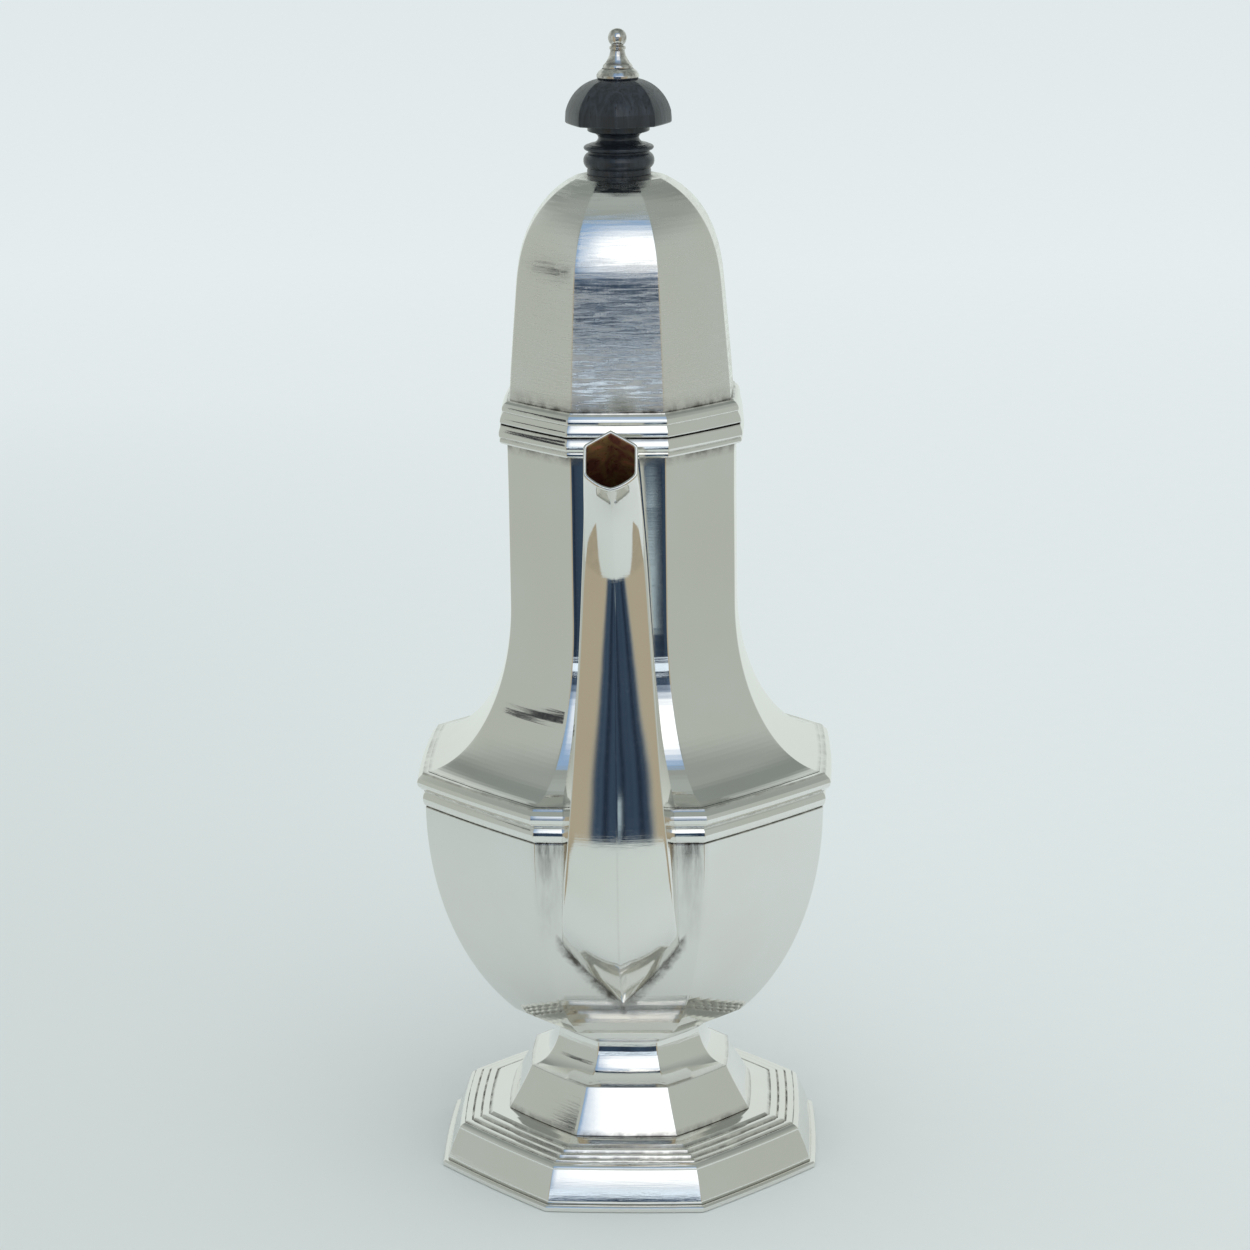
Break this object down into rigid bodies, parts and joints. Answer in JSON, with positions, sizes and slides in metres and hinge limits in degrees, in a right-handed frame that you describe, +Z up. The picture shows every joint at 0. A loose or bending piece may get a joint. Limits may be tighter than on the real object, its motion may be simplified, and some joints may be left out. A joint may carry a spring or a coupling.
{
  "type": "coffee pot",
  "caption": "Tall octagonal baluster coffee pot in polished silver, with a hinged domed lid, a tapering faceted spout, and an ebonised wood handle and knob.",
  "frame": {"origin": "centre of the foot's bottom face, on the pot's axis, on the table", "axes": "+Z up along the pot's axis; -Y towards the spout; +Y towards the handle and the lid hinge; +X to the right seen from the spout"},
  "size_m": [0.096, 0.1539, 0.2653],
  "materials": {
    "polished_silver": "hand-polished silver, mirror bright with fine polishing scratches and dark tarnish left in the grooves",
    "spout_silver": "polished silver outside, brown coffee-stained tarnish inside the mouth",
    "ebonised_wood": "wood stained blue-black, waxed to a satin sheen with fine open grain",
    "steel_fixings": "plain turned steel, dull"
  },
  "bodies": {
    "pot": {"foot_flange": "polished_silver", "foot": "polished_silver", "pedestal_lower": "polished_silver", "pedestal_upper": "polished_silver", "bowl": "polished_silver", "belt_moulding": "polished_silver", "shoulder_and_neck": "polished_silver", "rim_moulding": "polished_silver", "strainer": "polished_silver", "spout_left": "spout_silver", "spout_right": "spout_silver", "upper_handle_socket": "polished_silver", "lower_handle_socket": "polished_silver", "handle": "ebonised_wood", "handle_pins": "polished_silver", "body_hinge_leaf": "polished_silver", "hinge_pin": "polished_silver"},
    "lid": {"lid_hinge_leaf": "polished_silver", "lid_flange": "polished_silver", "lid_bezel": "polished_silver", "lid_dome": "polished_silver", "knob_stem": "ebonised_wood", "knob_cap": "ebonised_wood", "finial": "polished_silver", "knob_stud": "steel_fixings", "lid_washer": "steel_fixings", "knob_nut": "steel_fixings"}
  },
  "joints": [
    {"name": "lid_hinge", "type": "hinge", "parent": "pot", "child": "lid", "pos_m": [0, 0.0302, 0.178], "axis": [-1, 0, 0], "range_deg": [0, 100]}
  ]
}
